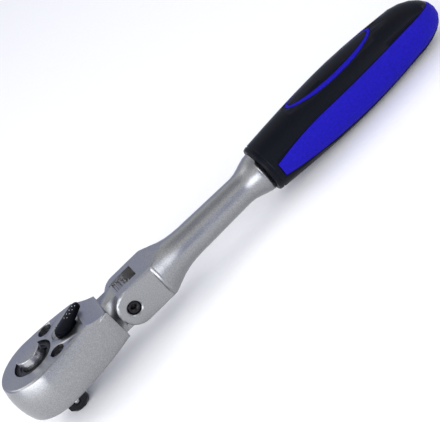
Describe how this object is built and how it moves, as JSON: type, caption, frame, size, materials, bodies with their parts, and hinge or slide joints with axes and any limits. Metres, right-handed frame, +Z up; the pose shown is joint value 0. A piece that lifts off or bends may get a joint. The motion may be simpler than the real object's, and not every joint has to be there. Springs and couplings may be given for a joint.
{
  "type": "flex head ratchet",
  "caption": "Flex head ratchet with a square drive, quick release button, reversing lever, toothed flex joint and a two-colour soft grip.",
  "frame": {"origin": "centre of the drive square's end face, on the drive axis", "axes": "+X from the drive towards the butt of the grip, +Z up the drive axis to the lever side"},
  "size_m": [0.2437, 0.0376, 0.0346],
  "materials": {
    "satin_chrome": "satin chrome",
    "polished_chrome": "polished chrome",
    "black_oxide": "black oxide",
    "black_lever": "gloss black",
    "tool_steel": "ground steel",
    "spring_steel": "bright wire",
    "grip_black": "semi matt",
    "grip_blue": "fine matt grain"
  },
  "bodies": {
    "handle": {"handle_forging": "satin_chrome", "pivot_screw": "black_oxide", "index_spring": "spring_steel", "grip_core": "grip_black", "grip_inlay": "grip_blue", "badge_ring": "grip_blue", "badge_plate": "grip_black"},
    "index": {"index_plunger": "tool_steel"},
    "head": {"head_housing": "satin_chrome", "cover_plate": "satin_chrome", "cover_screw_near": "tool_steel", "cover_screw_far": "tool_steel", "pawl_pin": "tool_steel"},
    "drive": {"drive_gear": "black_oxide", "button_clip": "black_oxide", "release_spring": "spring_steel"},
    "button": {"release_button": "polished_chrome"},
    "ball": {"detent_ball": "polished_chrome"},
    "lever": {"reverse_lever": "black_lever", "lever_clip": "spring_steel", "selector_spring": "spring_steel"},
    "selector": {"selector_plunger": "tool_steel"},
    "rocker": {"pawl": "tool_steel"}
  },
  "joints": [
    {"name": "head_flex", "type": "hinge", "parent": "handle", "child": "head", "pos_m": [0.0444, 0, 0.0195], "axis": [0, 1, 0], "range_deg": [-90, 90]},
    {"name": "index_press", "type": "slide", "parent": "handle", "child": "index", "axis": [1, 0, 0], "range_m": [0, 0.0012], "stiffness_N_per_m": 2000, "springref_m": -0.002, "deforming": ["index_spring"]},
    {"name": "drive_spin", "type": "hinge", "parent": "head", "child": "drive", "pos_m": [0, 0, 0.0195], "axis": [0, 0, 1], "continuous": true},
    {"name": "quick_release", "type": "slide", "parent": "drive", "child": "button", "axis": [0, 0, -1], "range_m": [0, 0.0025], "stiffness_N_per_m": 800, "springref_m": -0.002, "deforming": ["release_spring"]},
    {"name": "ball_retract", "type": "slide", "parent": "drive", "child": "ball", "axis": [0, 1, 0], "range_m": [0, 0.0007]},
    {"name": "lever_throw", "type": "hinge", "parent": "head", "child": "lever", "pos_m": [0.0182, 0, 0.0295], "axis": [0, 0, 1], "range_deg": [-80, 0]},
    {"name": "selector_press", "type": "slide", "parent": "lever", "child": "selector", "axis": [0.766, 0.6428, 0], "range_m": [0, 0.0005], "stiffness_N_per_m": 800, "springref_m": -0.0005, "deforming": ["selector_spring"]},
    {"name": "pawl_rock", "type": "hinge", "parent": "head", "child": "rocker", "pos_m": [0.01378, 0, 0.0165], "axis": [0, 0, 1], "range_deg": [0, 10]}
  ],
  "couplings": [
    {"joint": "ball_retract", "follows": "quick_release", "ratio": 0.28},
    {"joint": "pawl_rock", "follows": "lever_throw", "ratio": -0.125}
  ]
}
